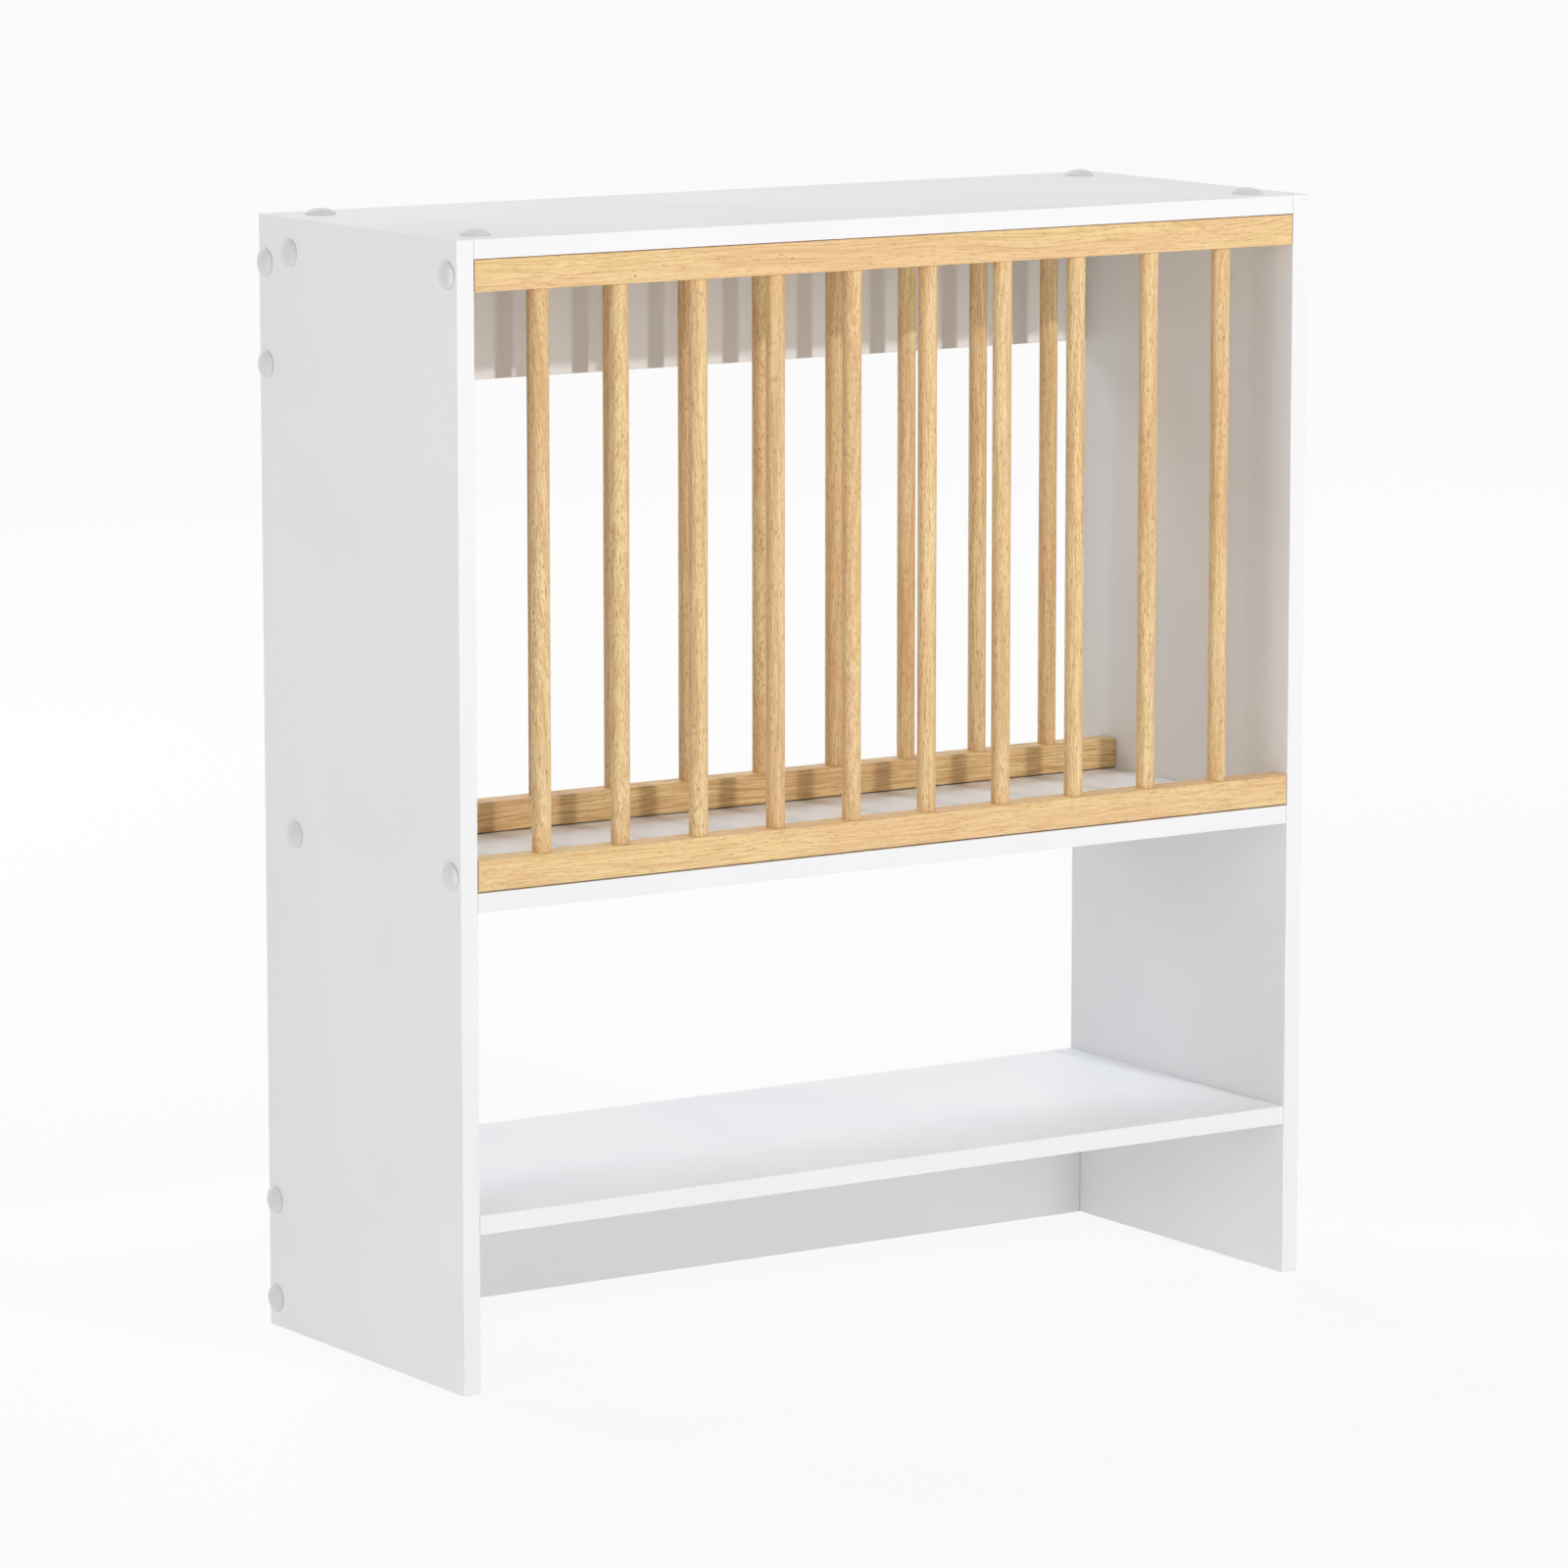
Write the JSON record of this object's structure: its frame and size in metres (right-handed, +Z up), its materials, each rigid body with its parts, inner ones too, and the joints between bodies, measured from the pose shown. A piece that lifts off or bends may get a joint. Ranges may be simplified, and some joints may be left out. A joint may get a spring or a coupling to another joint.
{
  "type": "dish drying cabinet",
  "caption": "Open standing cabinet that holds plates on edge between two rows of wooden dowels, above an open storage shelf.",
  "frame": {"origin": "on the floor, at the middle of the cabinet's width and depth", "axes": "+X to the right seen from the front, +Y to the back, +Z up; the open front faces -Y"},
  "size_m": [0.6486, 0.241, 0.7143],
  "materials": {
    "white_board": "white satin lacquer on medium-density fibreboard",
    "rubberwood": "clear satin lacquer on light rubberwood, grain along each piece",
    "white_cap": "moulded white plastic, slightly glossy",
    "zinc_fitting": "zinc-plated steel and die-cast zinc"
  },
  "bodies": {
    "root": {"left_side_panel": "white_board", "right_side_panel": "white_board", "top_panel": "white_board", "rack_shelf": "white_board", "lower_shelf": "white_board", "back_upper_board": "white_board", "back_lower_board": "white_board", "front_top_rail": "rubberwood", "front_bottom_rail": "rubberwood", "rear_top_rail": "rubberwood", "rear_bottom_rail": "rubberwood", "front_dowel_01": "rubberwood", "front_dowel_02": "rubberwood", "front_dowel_03": "rubberwood", "front_dowel_04": "rubberwood", "front_dowel_05": "rubberwood", "front_dowel_06": "rubberwood", "front_dowel_07": "rubberwood", "front_dowel_08": "rubberwood", "front_dowel_09": "rubberwood", "front_dowel_10": "rubberwood", "rear_dowel_01": "rubberwood", "rear_dowel_02": "rubberwood", "rear_dowel_03": "rubberwood", "rear_dowel_04": "rubberwood", "rear_dowel_05": "rubberwood", "rear_dowel_06": "rubberwood", "rear_dowel_07": "rubberwood", "rear_dowel_08": "rubberwood", "rear_dowel_09": "rubberwood", "rear_dowel_10": "rubberwood", "left_screw_front_top_rail": "white_cap", "left_screw_front_bottom_rail": "white_cap", "left_screw_rear_top_rail": "white_cap", "left_screw_rear_bottom_rail": "white_cap", "left_screw_back_upper_high": "white_cap", "left_screw_back_upper_low": "white_cap", "left_screw_back_lower_high": "white_cap", "left_screw_back_lower_low": "white_cap", "right_screw_front_top_rail": "white_cap", "right_screw_front_bottom_rail": "white_cap", "right_screw_rear_top_rail": "white_cap", "right_screw_rear_bottom_rail": "white_cap", "right_screw_back_upper_high": "white_cap", "right_screw_back_upper_low": "white_cap", "right_screw_back_lower_high": "white_cap", "right_screw_back_lower_low": "white_cap", "top_cam_left_front": "white_cap", "top_cam_left_rear": "white_cap", "top_cam_right_front": "white_cap", "top_cam_right_rear": "white_cap", "rack_shelf_cam_left_front": "zinc_fitting", "rack_shelf_cam_left_rear": "zinc_fitting", "rack_shelf_cam_right_front": "zinc_fitting", "rack_shelf_cam_right_rear": "zinc_fitting", "lower_shelf_cam_left_front": "zinc_fitting", "lower_shelf_cam_left_rear": "zinc_fitting", "lower_shelf_cam_right_front": "zinc_fitting", "lower_shelf_cam_right_rear": "zinc_fitting"}
  },
  "joints": []
}
